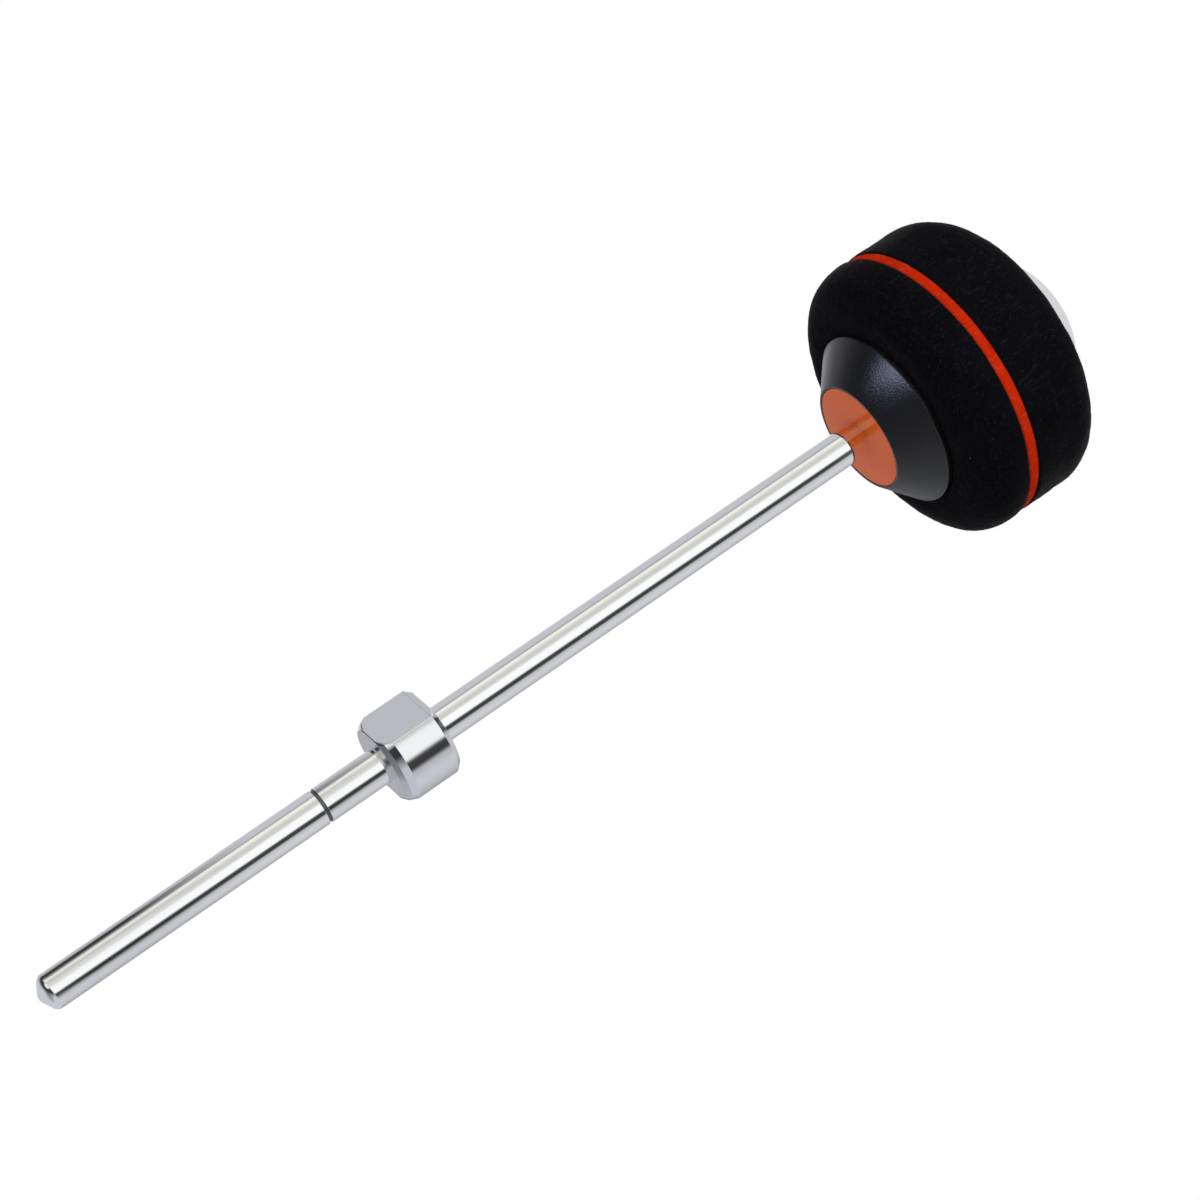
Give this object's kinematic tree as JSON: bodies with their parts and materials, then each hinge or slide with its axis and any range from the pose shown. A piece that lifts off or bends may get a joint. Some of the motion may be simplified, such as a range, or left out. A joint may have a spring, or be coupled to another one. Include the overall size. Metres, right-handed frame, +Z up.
{
  "type": "bass drum beater",
  "caption": "Felt bass drum beater: a straight plated shaft with a sliding collar weight and a layered felt head clamped between cones, held in a foot pedal's beater clamp.",
  "frame": {"origin": "on the shaft's axis, at the end of its tip, which is the part's lowest point", "axes": "+Z up the shaft from the tip to the felt head, -Y out of one collar flat, -X out of the clamp screw"},
  "size_m": [0.0666, 0.0666, 0.2621],
  "materials": {
    "chrome_shaft": "bright plated",
    "chrome_collar": "bright plated",
    "black_screw": "black oxide",
    "brass_pad": "turned",
    "orange_inlay": "glossy",
    "black_hub": "satin",
    "silver_hub": "satin",
    "black_felt": "dense pressed felt",
    "orange_felt": "dense pressed felt",
    "sleeve_metal": "turned",
    "zinc_steel": "bright zinc"
  },
  "bodies": {
    "shaft_and_head": {"shaft": "chrome_shaft", "hub_inlay": "orange_inlay", "lower_hub": "black_hub", "lower_felt": "black_felt", "stripe_felt": "orange_felt", "upper_felt": "black_felt", "core_sleeve": "sleeve_metal", "upper_hub": "silver_hub", "flat_washer": "zinc_steel", "lock_washer": "zinc_steel", "lock_nut": "zinc_steel"},
    "collar": {"collar_weight": "chrome_collar"},
    "pad": {"clamp_pad": "brass_pad"},
    "screw": {"clamp_screw": "black_screw"}
  },
  "joints": [
    {"name": "collar_slide", "type": "slide", "parent": "shaft_and_head", "child": "collar", "axis": [0, 0, 1], "range_m": [-0.0141, 0.1137]},
    {"name": "pad_travel", "type": "slide", "parent": "collar", "child": "pad", "axis": [-1, 0, 0], "range_m": [0, 0.0025]},
    {"name": "screw_turn", "type": "hinge", "parent": "pad", "child": "screw", "pos_m": [-0.0075, 0, 0.0888], "axis": [-1, 0, 0], "range_deg": [0, 720]}
  ],
  "couplings": [
    {"joint": "screw_turn", "follows": "pad_travel", "rad_per_m": 5026.5}
  ]
}
